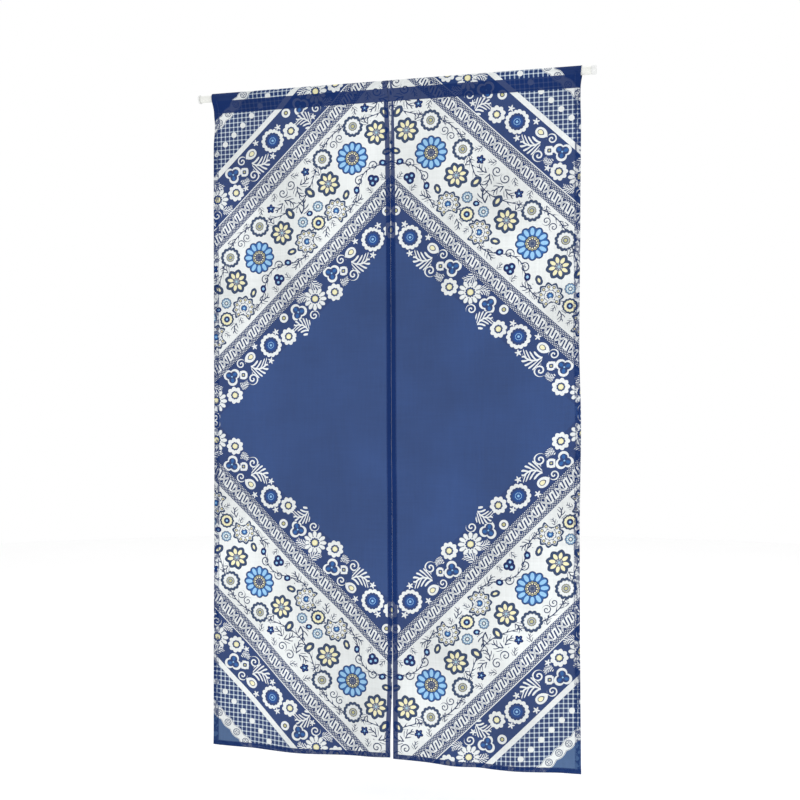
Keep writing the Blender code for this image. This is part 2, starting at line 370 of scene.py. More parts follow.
# Round motifs. petals: how many. scallop: how deep the rim dips between them. tip: 2 for round petals and
# less for pointed ones. petal: how far out each petal's middle is, its half length and its half width, as
# shares of the radius. rings: where each ink starts, as a share of the way to the rim. dots: a ring of dots,
# as the ring's radius, the dots' radius and whether they are outlined.
FLOWERS = {
    "blue_daisy": dict(petals=12, scallop=0.12, petal=(0.68, 0.22, 0.115), petal_ink=SKY,
                       rings=[(0.0, LINE), (0.12, GREY), (0.19, DEEP), (0.36, OLIVE), (0.40, DEEP),
                              (0.46, BLUE), (0.92, NAVY)],
                       dots=(0.28, 0.046, False), dot_ink=YELLOW),
    "yellow_flower": dict(petals=8, scallop=0.20, tip=1.4, petal=(0.50, 0.26, 0.135), petal_ink=YELLOW,
                          rings=[(0.0, PALE), (0.10, GREY), (0.15, WHITE), (0.30, LINE), (0.74, SLATE)],
                          dots=(0.22, 0.035, True), dot_ink=WHITE),
    "round_flower": dict(petals=13, scallop=0.12, petal=(0.56, 0.15, 0.10), petal_ink=WHITE,
                         rings=[(0.0, OLIVE), (0.15, LINE), (0.21, GREY), (0.31, OLIVE), (0.36, LINE),
                                (0.42, WHITE), (0.70, GREY), (0.76, SLATE)],
                         dots=(0.25, 0.035, False), dot_ink=WHITE),
    "palmette": dict(petals=10, scallop=0.20, tip=1.3, petal=(0.42, 0.03, 0.06), petal_ink=LINE,
                     rings=[(0.0, SKY), (0.09, BLUE), (0.22, SLATE), (0.28, WHITE), (0.43, LINE),
                            (0.48, WHITE), (0.83, SLATE)],
                     dots=(0.65, 0.075, True), dot_ink=CREAM),
    "rosette": dict(petals=10, scallop=0.12, petal=(0.56, 0.12, 0.10), petal_ink=WHITE,
                    rings=[(0.0, WHITE), (0.22, LINE), (0.38, PALE), (0.70, BLUE), (0.80, PALE),
                           (0.86, LINE)]),
    "ring_flower": dict(petals=12, scallop=0.10, petal=(0.60, 0.14, 0.11), petal_ink=YELLOW,
                        rings=[(0.0, SKY), (0.16, DEEP), (0.38, GREY), (0.44, YELLOW), (0.74, SLATE)]),
    "berries": dict(petals=3, scallop=0.30, petal=(0.46, 0.20, 0.20), petal_ink=SKY, rings=[(0.0, DEEP)]),
    "star": dict(petals=5, scallop=0.38, tip=1.4, petal=(0.45, 0.22, 0.07), petal_ink=BLUE,
                 rings=[(0.0, SKY), (0.22, DEEP)]),
    "leaf_bud": dict(petals=2, scallop=0.42, tip=0.9, petal=(0.0, 0.48, 0.23), petal_ink=YELLOW,
                     rings=[(0.0, LINE), (0.62, SLATE)]),
    "small_bud": dict(petals=2, scallop=0.24, tip=1.2, petal=(0.0, 0.42, 0.34), petal_ink=SKY,
                      rings=[(0.0, DEEP)]),
    "medallion": dict(petals=14, scallop=0.12, petal=(0.80, 0.12, 0.11), petal_ink=WHITE,
                      rings=[(0.0, SKY), (0.10, MID_BLUE), (0.48, NAVY), (0.70, WHITE)],
                      dots=(0.25, 0.038, False), dot_ink=SKY),
    "teardrop": dict(petals=1, scallop=0.48, tip=0.5,
                     rings=[(0.0, YELLOW), (0.40, LINE), (0.54, WHITE)]),
    "white_daisy": dict(petals=12, scallop=0.20, petal=(0.74, 0.25, 0.15), petal_ink=WHITE,
                        rings=[(0.0, YELLOW), (0.22, OLIVE), (0.27, NAVY), (0.43, WHITE), (0.58, GREY)]),
    "small_daisy": dict(petals=9, scallop=0.20, tip=1.6, petal=(0.72, 0.24, 0.21), petal_ink=WHITE,
                        rings=[(0.0, YELLOW), (0.27, OLIVE), (0.33, NAVY), (0.52, WHITE)]),
    "clover": dict(petals=3, scallop=0.40, petal=(0.42, 0.24, 0.17), petal_ink=BLUE,
                   rings=[(0.0, SKY), (0.10, NAVY), (0.72, WHITE)]),
    "square": dict(petals=4, scallop=-0.24, rings=[(0.0, OLIVE), (0.20, NAVY), (0.46, WHITE)]),
    "ringlet": dict(petals=1, scallop=0.0, rings=[(0.0, OLIVE), (0.32, DEEP), (0.50, WHITE)]),
    "white_star": dict(petals=5, scallop=0.72, tip=0.9, rings=[(0.0, WHITE)]),
}
NO_PETAL = (0.0, 0.01, 0.01)
NO_DOTS = (0.0, 0.0, False)

# The least tip that a petal has, a dot's outline, and the palmette's fan: half the angle of the notch beside
# it, and how much nearer the rim is there
BLUNTEST_PETAL = 1.1
DOT_OUTLINE = 0.05
FAN_ANGLE = 0.55
FAN_NOTCH = 0.9

# Spiral curls: turns in one radius, the share of a turn that is line, and where it ends
CURL_TURNS = 1.5
CURLS = {
    "curl": dict(line=0.30, end=0.97, line_ink=TWIG),
    "white_curl": dict(line=0.36, end=0.98, line_ink=WHITE),
}

# Leafy stems, in their own radii: leaves in one radius of stem, how steeply they climb and how that changes
# outwards, their half thickness and the stem's, and the ink
STEMS = {
    "sprig": dict(leaves=1.2, climb=0.6, more_climb=1.8, thick=0.16, stem=0.09, leaf_ink=TWIG),
    "frond": dict(leaves=2.1, climb=3.0, more_climb=-0.25, thick=0.30, stem=0.07, leaf_ink=WHITE),
}
STEM_BEND = 0.4
STEM_SHIFT = 0.12
STEM_TOP = 0.8
STEM_END = 0.96
LEAF_REACH = 0.72
LEAF_NARROWING = 0.22
LEAF_BLUNTNESS = 6.0
LEAF_ROOT = 0.55
LEAF_SWELL = 0.6

KINDS = [None, *FLOWERS, *CURLS, *STEMS]

# One repeat of each flowered band: kind, radius, place along the band, place out from the middle of the
# print, turn in degrees, height over width. pair repeats it mirrored on the other side of along 0.
WHITE_REPEAT = 309.5
WHITE_START = -337.0
WHITE_BAND = [
    dict(kind="blue_daisy", radius=38, along=0, out=490),
    dict(kind="yellow_flower", radius=29, along=78, out=490, turn=12, pair=True),
    dict(kind="round_flower", radius=24.5, along=50, out=541, pair=True),
    dict(kind="palmette", radius=30, along=107, out=432, turn=-81, pair=True),
    dict(kind="rosette", radius=13, along=130, out=471, pair=True),
    dict(kind="ring_flower", radius=17.5, along=154.75, out=443),
    dict(kind="berries", radius=14.5, along=0, out=418, turn=42),
    dict(kind="star", radius=11, along=97, out=550, pair=True),
    dict(kind="leaf_bud", radius=15, along=122, out=508, turn=40, pair=True),
    dict(kind="small_bud", radius=9, along=42, out=430, turn=80, pair=True),
    dict(kind="leaf_bud", radius=12, along=66, out=441, turn=110, pair=True),
    dict(kind="curl", radius=12, along=23, out=441, pair=True),
    dict(kind="curl", radius=10.5, along=10.5, out=545, turn=90, pair=True),
    dict(kind="curl", radius=12, along=142, out=555, turn=180, pair=True),
    dict(kind="sprig", radius=18, along=154.75, out=497, turn=0),
    dict(kind="small_bud", radius=8, along=154.75, out=474),
    dict(kind="sprig", radius=15, along=140, out=527, turn=150, pair=True),
    dict(kind="sprig", radius=14, along=113, out=536, turn=40, pair=True),
    dict(kind="sprig", radius=12, along=79, out=530, turn=-60, pair=True),
    dict(kind="sprig", radius=11, along=24, out=563, turn=70, pair=True),
    dict(kind="sprig", radius=13, along=154.75, out=414, turn=180),
    dict(kind="sprig", radius=14, along=55, out=412, turn=60, pair=True),
    dict(kind="sprig", radius=9, along=21, out=408, turn=-50, pair=True),
    dict(kind="sprig", radius=10, along=76, out=564, turn=100, pair=True),
    dict(kind="sprig", radius=10, along=120, out=563, turn=80, pair=True),
    dict(kind="sprig", radius=9, along=82, out=411, turn=-20, pair=True),
    dict(kind="sprig", radius=9, along=131, out=417, turn=150, pair=True),
]
NAVY_REPEAT = 335.5
NAVY_START = -246.0
NAVY_BAND = [
    dict(kind="medallion", radius=27.5, along=0, out=323),
    dict(kind="teardrop", radius=20, along=54, out=339, turn=-35, tall=0.82),
    dict(kind="square", radius=10, along=97, out=322, turn=0),
    dict(kind="clover", radius=21, along=120, out=338, turn=20),
    dict(kind="small_daisy", radius=20, along=144, out=302),
    dict(kind="white_daisy", radius=27, along=187, out=324),
    dict(kind="clover", radius=21, along=236, out=330, turn=45),
    dict(kind="ringlet", radius=10.5, along=270, out=345),
    dict(kind="small_daisy", radius=20, along=290, out=306, turn=10),
    dict(kind="frond", radius=27, along=55, out=306, turn=78, tall=0.85),
    dict(kind="white_curl", radius=14, along=86, out=299, turn=150),
    dict(kind="white_curl", radius=12, along=84, out=344, turn=20),
    dict(kind="frond", radius=23, along=252, out=301, turn=-75, tall=0.85),
    dict(kind="white_curl", radius=12, along=214, out=298, turn=40),
    dict(kind="frond", radius=15, along=165, out=346, turn=120),
    dict(kind="white_star", radius=8.5, along=32, out=350, turn=10),
    dict(kind="white_star", radius=8.5, along=24, out=297, turn=30),
    dict(kind="white_star", radius=8.5, along=306, out=336, turn=0),
    dict(kind="frond", radius=14, along=209, out=346, turn=-110),
    dict(kind="frond", radius=11, along=110, out=303, turn=60),
]
OUTER_SHIFT = dict(along=11.0, out=338.0)
OUTER_EXTRAS = [
    dict(kind="white_star", radius=8, along=120, out=292, turn=0),
    dict(kind="frond", radius=13, along=185, out=289, turn=80),
    dict(kind="white_star", radius=8, along=232, out=290, turn=20),
]

# The part of the print's quarter that motifs are placed in
QUARTER_MARGIN = 40.0
QUARTER_WIDTH = 470.0
QUARTER_HEIGHT = 800.0

# A face belongs to a motif up to this many of its radii away
MOTIF_REACH = 1.12

# The band's angle: out is measured square to the bands, along runs down and away from the middle
SLOPE = 0.945
OUT_X = SLOPE / math.hypot(SLOPE, 1.0)
OUT_Z = 1.0 / math.hypot(SLOPE, 1.0)
OUT_TURN = math.degrees(math.atan2(OUT_Z, OUT_X))


def repeats(rows, start, repeat, shift_out=0.0):
    """Every motif of a band as rows of (kind, radius, along, out, turn, tall), through six repeats.

    The second of a pair is the first one's mirror image, so its turn is mirrored and its height is negative.
    """
    for n in range(-3, 3):
        for row in rows:
            turn = row.get("turn", 0.0)
            for way in (1, -1) if row.get("pair") else (1,):
                yield (KINDS.index(row["kind"]), row["radius"], start + n * repeat + way * row["along"],
                       row["out"] + shift_out, turn if way > 0 else 2 * OUT_TURN - turn,
                       way * row.get("tall", 1.0))


def all_motifs():
    """Places every motif in the quarter of the print where x and z count away from its middle."""
    inner = list(repeats(NAVY_BAND, NAVY_START, NAVY_REPEAT))
    outer_start = NAVY_START + OUTER_SHIFT["along"]
    outer = list(repeats(NAVY_BAND + OUTER_EXTRAS, outer_start, NAVY_REPEAT, OUTER_SHIFT["out"]))
    white = list(repeats(WHITE_BAND, WHITE_START, WHITE_REPEAT))
    kind, radius, along, out, turn, tall = np.array(inner + outer + white, float).T
    x = OUT_Z * along + OUT_X * out
    z = -OUT_X * along + OUT_Z * out
    near = (x > -QUARTER_MARGIN) & (x < QUARTER_WIDTH) & (z > -QUARTER_MARGIN) & (z < QUARTER_HEIGHT)
    return [values[near] for values in (kind, radius, x, z, np.radians(turn), tall)]


def motif_forms():
    """Each kind's numbers in three rows: petals, scallop and tip; its petal; its dots."""
    table = []
    for name in KINDS[1:]:
        row = FLOWERS.get(name, dict(petals=1, scallop=0.0))
        rim = (row["petals"], row["scallop"], row.get("tip", 2.0))
        table.append((rim, row.get("petal", NO_PETAL), row.get("dots", NO_DOTS)))
    return np.array(table, float)


def nearest_motif(corners):
    """For each face, the motif whose outline is nearest, and each corner's place on it.

    corners is (faces, 4, 2) of x and z in the folded print. A place is counted in the motif's radii, in its
    own turned axes. A face that is on no motif gets kind 0.
    """
    kind, radius, x, z, turn, tall = all_motifs()
    middle = corners.mean(axis=1)
    best = np.full(len(middle), MOTIF_REACH)
    chosen = np.full(len(middle), -1)
    for i in range(len(kind)):
        dx = middle[:, 0] - x[i]
        dz = middle[:, 1] - z[i]
        away = np.hypot(dx, dz) / radius[i]
        closer = away < best
        best[closer] = away[closer]
        chosen[closer] = i
    found = chosen >= 0
    pick = np.maximum(chosen, 0)
    dx = corners[..., 0] - x[pick][:, None]
    dz = corners[..., 1] - z[pick][:, None]
    cosine = (np.cos(turn) / radius)[pick][:, None]
    sine = (np.sin(turn) / radius)[pick][:, None]
    local = np.stack([dx * cosine + dz * sine, (dz * cosine - dx * sine) / tall[pick][:, None],
                      np.broadcast_to((kind[pick] * found)[:, None], dx.shape)], axis=-1)
    return local, motif_forms()[kind[pick].astype(int) - 1]


# Rows and columns of a panel's grid, in millimetres of cloth
BACK_ROWS = np.arange(BACK_END + 0.01, -20.0, 3.5)
TOP_ROWS = np.arange(-19.0, 19.0, 1.6)
CASING_ROWS = np.arange(19.6, SEAM_LENGTH - 1, 2.6)
HUNG_ROWS = np.linspace(SEAM_LENGTH, BOTTOM_FOLD - 12.0, 494)
HEM_ROWS = BOTTOM_FOLD + np.array([-10.5, -8.0, -5.5, -3.0, -1.0, 0.0])
TURNED_STEPS = np.array([0.3, 0.9, 2.5, 5.0, 8.0])
EDGE_STEPS = np.array([0.0, 0.4, 1.2])
MIDDLE_COLUMNS = np.linspace(3.0, CUT_WIDTH - 3.0, 139)


def panel_rows():
    """Lengths from the top fold of the rows: close round the rod and at the hems, and even between."""
    turned = BOTTOM_FOLD + np.append(TURNED_STEPS, BOTTOM_HEM)
    return np.concatenate([BACK_ROWS, TOP_ROWS, CASING_ROWS, HUNG_ROWS, HEM_ROWS, turned])


def panel_columns(side):
    """Distances across the flat cloth of the columns, hems included."""
    low = -np.append(TURNED_STEPS, PANELS[side]["low_hem"])[::-1]
    high = CUT_WIDTH + np.append(TURNED_STEPS, PANELS[side]["high_hem"])
    return np.concatenate([low, EDGE_STEPS, MIDDLE_COLUMNS, CUT_WIDTH - EDGE_STEPS[::-1], high])


def panel_cloth(side, material):
    """One panel as a single sheet: hems turned back, casing over the rod, folds and creases from hang()."""
    across = panel_columns(side)
    down = panel_rows()
    cloth = hang(side, across[None, :], down[:, None])
    faces = grid_faces(len(down), len(across))
    item = mesh_object("cloth_" + side, cloth["place"], faces, material)
    mesh = item.data
    put(mesh, "print_place", "FLOAT_VECTOR", "POINT", cloth["print"])
    put(mesh, "hem_place", "FLOAT_VECTOR", "POINT", cloth["hem"])
    put(mesh, "layer", "FLOAT", "POINT", cloth["layer"])
    folded = np.abs(cloth["print"].reshape(-1, 3)[faces][..., :2])
    local, form = nearest_motif(folded)
    put(mesh, "motif_place", "FLOAT_VECTOR", "CORNER", local)
    for n, name in enumerate(("motif_rim", "motif_petal", "motif_dots")):
        put(mesh, name, "FLOAT_VECTOR", "FACE", form[:, n])
    width = across[-1] - across[0]
    length = down[-1] - down[0]
    flat = np.stack(np.broadcast_arrays((across - across[0]) / width,
                                        1.0 - (down[:, None] - down[0]) / length), axis=-1)
    layout = mesh.uv_layers.new(name="OFBake")
    layout.data.foreach_set("uv", flat.reshape(-1, 2)[faces].astype(np.float32).ravel())
    return item, (width, length)


# Topstitching. A line of it runs STITCH_INSET inside the edge of each turned hem and SEAM_INSET above the
# casing's seam, and stops short of each end. SIZE is a stitch's half length, half width and half height.
STITCH_PITCH = 3.4
STITCH_SIZE = (1.25, 0.30, 0.26)
STITCH_AHEAD = 1.2
STITCH_PROUD = 0.12
STITCH_INSET = 1.2
SEAM_INSET = 0.5
LINE_ENDS = 3.0
LINE_TOP = 24.0
THREAD_SIDES = 5


def stitch_shape():
    """One stitch at unit size as (points, faces): a thread in rings of five, thinner at both ends."""
    turn = np.arange(THREAD_SIDES) * 2 * math.pi / THREAD_SIDES
    along = np.array([-1.0, -0.55, 0.55, 1.0])
    swell = np.array([0.35, 1.0, 1.0, 0.35])
    points = np.stack([np.repeat(along, THREAD_SIDES), np.outer(swell, np.cos(turn)).ravel(),
                       np.outer(swell, np.sin(turn)).ravel()], axis=-1)
    rings = np.arange(len(along) * THREAD_SIDES).reshape(len(along), THREAD_SIDES)
    after = np.roll(rings, -1, axis=1)
    faces = np.stack([rings[:-1], after[:-1], after[1:], rings[1:]], axis=-1)
    return points, faces.reshape(-1, 4)


def stitches(side, material):
    """Topstitching of one panel: a short thread over each step along the casing, side and bottom seams."""
    seam = SEAM_LENGTH - SEAM_INSET
    bottom = BOTTOM_FOLD - BOTTOM_HEM + STITCH_INSET
    low = PANELS[side]["low_hem"] - STITCH_INSET
    high = CUT_WIDTH - PANELS[side]["high_hem"] + STITCH_INSET
    lines = np.array([
        ((LINE_ENDS, seam), (CUT_WIDTH - LINE_ENDS, seam)),
        ((LINE_ENDS, bottom), (CUT_WIDTH - LINE_ENDS, bottom)),
        ((low, LINE_TOP), (low, BOTTOM_FOLD - LINE_ENDS)),
        ((high, LINE_TOP), (high, BOTTOM_FOLD - LINE_ENDS)),
    ])
    shape, shape_faces = stitch_shape()
    all_points = []
    for start, end in lines:
        length = np.hypot(*(end - start))
        way = (end - start) / length
        middle = start + np.arange(STITCH_PITCH, length - STITCH_PITCH, STITCH_PITCH)[:, None] * way
        tip = middle + STITCH_AHEAD * way
        place = hang(side, middle[:, 0], middle[:, 1], proud=STITCH_PROUD)["place"]
        ahead = hang(side, tip[:, 0], tip[:, 1], proud=STITCH_PROUD)["place"]
        along = ahead - place
        along = along / np.linalg.norm(along, axis=1, keepdims=True)
        out = np.tile(np.array([0.0, -1.0, 0.0]), (len(along), 1))
        sideways = np.cross(along, out)
        sideways = sideways / np.linalg.norm(sideways, axis=1, keepdims=True)
        out = np.cross(sideways, along)
        axes = np.stack([along, sideways, out], axis=1) * np.array(STITCH_SIZE)[:, None] * MM
        all_points.append(place[:, None, :] + np.einsum("pk,nkd->npd", shape, axes))
    points = np.concatenate(all_points)
    faces = shape_faces[None] + (np.arange(len(points)) * len(shape))[:, None, None]
    return mesh_object("stitches_" + side, points, faces.reshape(-1, 4), material)


class Value:
    """A socket whose value can be used in sums: each sum adds a Math node."""

    def __init__(self, paint, socket):
        self.paint = paint
        self.socket = socket

    def math(self, operation, *others):
        return self.paint.add("ShaderNodeMath", dict(operation=operation), [self, *others])

    def __add__(self, other):
        return self.math("ADD", other)

    def __radd__(self, other):
        return self.math("ADD", other)

    def __sub__(self, other):
        return self.math("SUBTRACT", other)

    def __rsub__(self, other):
        return self.paint.add("ShaderNodeMath", dict(operation="SUBTRACT"), [other, self])

    def __mul__(self, other):
        return self.math("MULTIPLY", other)

    def __rmul__(self, other):
        return self.math("MULTIPLY", other)

    def __truediv__(self, other):
        return self.math("DIVIDE", other)

    def __rtruediv__(self, other):
        return self.paint.add("ShaderNodeMath", dict(operation="DIVIDE"), [other, self])

    def __pow__(self, other):
        return self.math("POWER", other)

    def __lt__(self, other):
        return self.math("LESS_THAN", other)

    def __gt__(self, other):
        return self.math("GREATER_THAN", other)

    def __abs__(self):
        return self.math("ABSOLUTE")

    def sin(self):
        return self.math("SINE")

    def cos(self):
        return self.math("COSINE")

    def root(self):
        return self.math("SQRT")

    def most(self, other):
        return self.math("MAXIMUM", other)

    def fold(self, half):
        """Distance to the nearest multiple of twice half."""
        return self.math("PINGPONG", half)

    def rest(self, step):
        """What is left over a whole number of steps."""
        return self.math("FLOORED_MODULO", step)

    def near(self, other, reach):
        """1 where this is within reach of other."""
        return self.math("COMPARE", other, reach)


def linear(colour):
    """A colour of 0 to 255 steps as linear light, with full opacity."""
    level = np.array(colour, float) / 255.0
    light = np.where(level <= 0.04045, level / 12.92, ((level + 0.055) / 1.055) ** 2.4)
    return (*light.tolist(), 1.0)


# How much light falls on the front of the cloth, and how much of the surround dark and white cloth pass
LIGHT_ON_CLOTH = 1.32
DARK_PASSES = 0.018
WHITE_PASSES = 0.07


def ink(colour):
    """A print colour less what shines through the cloth, for the light that falls on it."""
    seen = np.array(linear(colour))
    passes = DARK_PASSES + (WHITE_PASSES - DARK_PASSES) * seen[:3].mean()
    dye = np.clip((seen - passes) / (LIGHT_ON_CLOTH * (1.0 - passes)), 0.002, 1.0)
    return (*dye[:3].tolist(), 1.0)


class Paint:
    """A new material and a short way to add its nodes."""

    def __init__(self, name):
        self.material = bpy.data.materials.new(name)
        self.material.use_nodes = True
        self.nodes = self.material.node_tree.nodes
        self.links = self.material.node_tree.links
        self.shader = self.nodes["Principled BSDF"]

    def add(self, kind, settings, inputs, output=0):
        """Adds a node: its settings are set first, then its sockets from values or links."""
        node = self.nodes.new(kind)
        for name, value in settings.items():
            if name == "stops":
                ramp = node.color_ramp
                ramp.interpolation = "CONSTANT"
                while len(ramp.elements) < len(value):
                    ramp.elements.new(0.5)
                for element, (place, colour) in zip(ramp.elements, value):
                    element.position = place
                    element.color = colour
            else:
                setattr(node, name, value)
        pairs = inputs.items() if isinstance(inputs, dict) else enumerate(inputs)
        for key, value in pairs:
            self.feed(node.inputs[key], value)
        return Value(self, node.outputs[output])

    def feed(self, socket, value):
        """Link a Value to a socket, or set the socket to a plain value."""
        if isinstance(value, Value):
            self.links.new(value.socket, socket)
        else:
            socket.default_value = value

    def attribute(self, name, number=False):
        """What the mesh carries under this name, as a vector or as a number."""
        return self.add("ShaderNodeAttribute", dict(attribute_name=name), {}, "Fac" if number else "Vector")

    def parts(self, vector):
        """The three numbers of a vector."""
        first = self.add("ShaderNodeSeparateXYZ", {}, [vector])
        outputs = first.socket.node.outputs
        return [Value(self, outputs[i]) for i in range(3)]

    def mix(self, factor, under, over):
        """The colour under, covered by the colour over as far as factor says."""
        return self.add("ShaderNodeMix", dict(data_type="RGBA"), {0: factor, 6: under, 7: over}, 2)

    def noise(self, place, scale, detail=2.0):
        return self.add("ShaderNodeTexNoise", {}, {"Vector": place, "Scale": scale, "Detail": detail})

    def object_place(self):
        """Where a point is in its object, in metres."""
        return self.add("ShaderNodeTexCoord", {}, {}, "Object")

    def stretch(self, vector, amounts):
        return self.add("ShaderNodeVectorMath", dict(operation="MULTIPLY"), [vector, amounts])

    def bump(self, height, strength, distance):
        return self.add("ShaderNodeBump", {}, {"Height": height, "Strength": strength, "Distance": distance})

    def finish(self, **sockets):
        """The material, with these values on its shader. An underscore stands for a space."""
        for name, value in sockets.items():
            self.feed(self.shader.inputs[name.replace("_", " ")], value)
        return self.material


# Where each band of the print ends, measured out from its middle
FIELD_END = 293.0
LATTICE_1 = 376.0
WHITE_BAND_FROM, WHITE_BAND_TO = 396.0, 575.0
BETWEEN_LATTICES = 485.0
LATTICE_2 = 594.75
LATTICE_HALF = 19.9
LINE_FROM, LINE_TO = 614.7, 617.0
STRIPE_FROM, STRIPE_TO = 696.5, 708.5
SPOTS = 742.0
LACE = 789.5
LACE_END = 795.5

# Interlaced strip: rows of dots on both sides of a ribbon that crosses itself, with slanting bars between
DOTS_FROM, DOTS_TO = 10.2, 19.2
DOT_ROW = 3.0
DOT_PITCH = 4.8
DOT_RADIUS = 1.0724
CROSSING_PITCH = 40.0
CROSSING_FROM = 12.6
RIBBON_SLOPE = 1.35
RIBBON_HALF = 2.0
RIBBON_SPLIT = 0.35
RIBBON_EDGE = 9.9
BAR_PITCH = 7.8
BAR_LEAN = 0.3
BAR_HALF = 4.6
BAR_RADIUS = 1.7607

# Checks: the width of the dark ones, which start at whole pitches, and the white spots along the band
CHECK_PITCH = 10.3
CHECK_COLUMN = 2.6
CHECK_LINE = 2.4
SPOT_PITCH = 30.0
SPOT_RADIUS = 6.5

# Scalloped edging with a button in each scallop: the edging's rim, the button's rings as radius, half width
# and ink, and its holes
SCALLOP_PITCH = 29.2
SCALLOP_RISE = 3.6
LACE_HALF = 8.6
RIM_INSIDE, RIM_HALF = 1.4, 0.5
BUTTON_RINGS = [(7.4, 0.8, LINE), (4.9, 0.4, GREY)]
HOLE_PLACE = 2.1
HOLE_RADIUS = 1.3038

# Stems that wander down the white band, and their leaves: spacing, how far each side's are moved along as a
# share of it, how they lean away from the stem, how wide they are for each millimetre inside LEAF_TIP, and
# how far out they are cut off
VINES = [
    dict(middle=535.0, swing=28.0, length=WHITE_REPEAT),
    dict(middle=428.0, swing=17.0, length=WHITE_REPEAT / 2),
]
VINE_HALF = 1.1
VINE_LEAF_PITCH = 21.0
VINE_LEAF_STAGGER = 0.25
VINE_LEAF_LEAN = 0.5
VINE_LEAF_CURVE = 0.11
VINE_LEAF_TAPER = 0.012
LEAF_TIP = 9.0
LEAF_CUT = 8.5


def paint_lattice(p, colour, along, out):
    """Interlaced strip: between rows of dots, a ribbon that crosses itself every forty millimetres."""
    offset = out - LATTICE_1 - (out > BETWEEN_LATTICES) * (LATTICE_2 - LATTICE_1)
    away = abs(offset)
    strip = p.mix(away < LATTICE_HALF, colour, ink(CHECK_DARK))
    past = away - DOTS_FROM
    row = (past / DOT_ROW).math("FLOOR")
    to_row = past.rest(DOT_ROW) - DOT_ROW / 2
    to_dot = (along + row * (DOT_PITCH / 2)).rest(DOT_PITCH) - DOT_PITCH / 2
    dots = (to_row * to_row + to_dot * to_dot) < DOT_RADIUS ** 2
    strip = p.mix(dots * (away > DOTS_FROM) * (away < DOTS_TO), strip, ink(WHITE))

    step = along.rest(CROSSING_PITCH) - CROSSING_PITCH / 2
    leaning = step + offset * BAR_LEAN
    turn = 1.0 - (leaning / BAR_PITCH + 0.5).math("FLOOR").rest(2.0) * 2.0
    from_bar = (leaning + BAR_PITCH / 2).rest(BAR_PITCH) - BAR_PITCH / 2
    beyond = (offset * turn * -1.0 - BAR_HALF).most(0.0)
    bar = (from_bar * from_bar + beyond * beyond) < BAR_RADIUS ** 2
    ribbon = (CROSSING_PITCH / 2 - abs(step)) * RIBBON_SLOPE
    from_ribbon = abs(away - ribbon) / math.hypot(RIBBON_SLOPE, 1.0)
    gap = (from_ribbon > RIBBON_HALF).most(from_ribbon < RIBBON_SPLIT)
    crossing = abs(step) > CROSSING_FROM
    middle = p.mix(crossing * gap + (1.0 - crossing) * bar, ink(WHITE), ink(CHECK_DARK))
    return p.mix(away < RIBBON_EDGE, strip, middle)


def paint_gingham(p, colour, x, z, along, out):
    """Dark checks ten millimetres apart between light threads, with a row of white spots along the band."""
    column = x.rest(CHECK_PITCH) < CHECK_COLUMN
    line = z.rest(CHECK_PITCH) < CHECK_LINE
    checks = p.mix(column.most(line), ink(CHECK_DARK), ink(CHECK))
    checks = p.mix(column * line, checks, ink(WHITE))
    aside = along.fold(SPOT_PITCH / 2)
    spot = (aside * aside + (out - SPOTS) * (out - SPOTS)) < SPOT_RADIUS ** 2
    checks = p.mix(spot, checks, ink(WHITE))
    return p.mix((out > STRIPE_TO) * (out < LACE_END), colour, checks)


def paint_lace(p, colour, z, along, out):
    """Scalloped edging with a ringed button and four holes in each scallop, and the corner beyond it."""
    offset = out - LACE
    step = along.fold(SCALLOP_PITCH / 2)
    reach = abs((along * (math.pi / SCALLOP_PITCH)).cos()) * SCALLOP_RISE + LACE_HALF
    solid = p.mix(out > LACE_END, colour, p.mix(z > 0.0, ink(CORNER), ink(TOP_CORNER)))
    lace = p.mix(abs(offset) < reach, solid, ink(WHITE))
    lace = p.mix((abs(offset) - reach).near(-RIM_INSIDE, RIM_HALF), lace, ink(GREY))
    from_button = (step * step + offset * offset).root()
    for radius, half, ring_ink in BUTTON_RINGS:
        lace = p.mix(from_button.near(radius, half), lace, ink(ring_ink))
    hole_step = step - HOLE_PLACE
    hole_out = abs(offset) - HOLE_PLACE
    lace = p.mix((hole_step * hole_step + hole_out * hole_out) < HOLE_RADIUS ** 2, lace, ink(DEEP))
    return p.mix((out > LACE_END).most(abs(offset) < reach), colour, lace)


def paint_vines(p, colour, along, out):
    """Two thin stems that wander down the white band as cosines, with short curved leaves along them."""
    for vine in VINES:
        turn = (along - WHITE_START) * (2 * math.pi / vine["length"])
        stem = out - vine["middle"] - turn.cos() * vine["swing"]
        side = stem.math("SIGN") * VINE_LEAF_STAGGER
        lean = abs(stem) * (VINE_LEAF_LEAN + abs(stem) * VINE_LEAF_CURVE)
        leaf = ((along - lean) / VINE_LEAF_PITCH + side).rest(1.0)
        leaf = leaf.near(0.5, (LEAF_TIP - abs(stem)) * VINE_LEAF_TAPER) * (abs(stem) < LEAF_CUT)
        colour = p.mix((abs(stem) < VINE_HALF).most(leaf), colour, ink(TWIG))
    return colour


def is_kind(kind, name):
    """1 where the nearest motif is of the named kind."""
    return kind.near(float(KINDS.index(name)), 0.4)


def paint_curls(p, colour, kind, radius, angle):
    """Spirals: a line along the turns of angle over radius."""
    turns = (radius * CURL_TURNS - angle / (2 * math.pi)).rest(1.0)
    for name, curl in CURLS.items():
        line = (turns < curl["line"]) * (radius < curl["end"])
        colour = p.mix(line * is_kind(kind, name), colour, ink(curl["line_ink"]))
    return colour


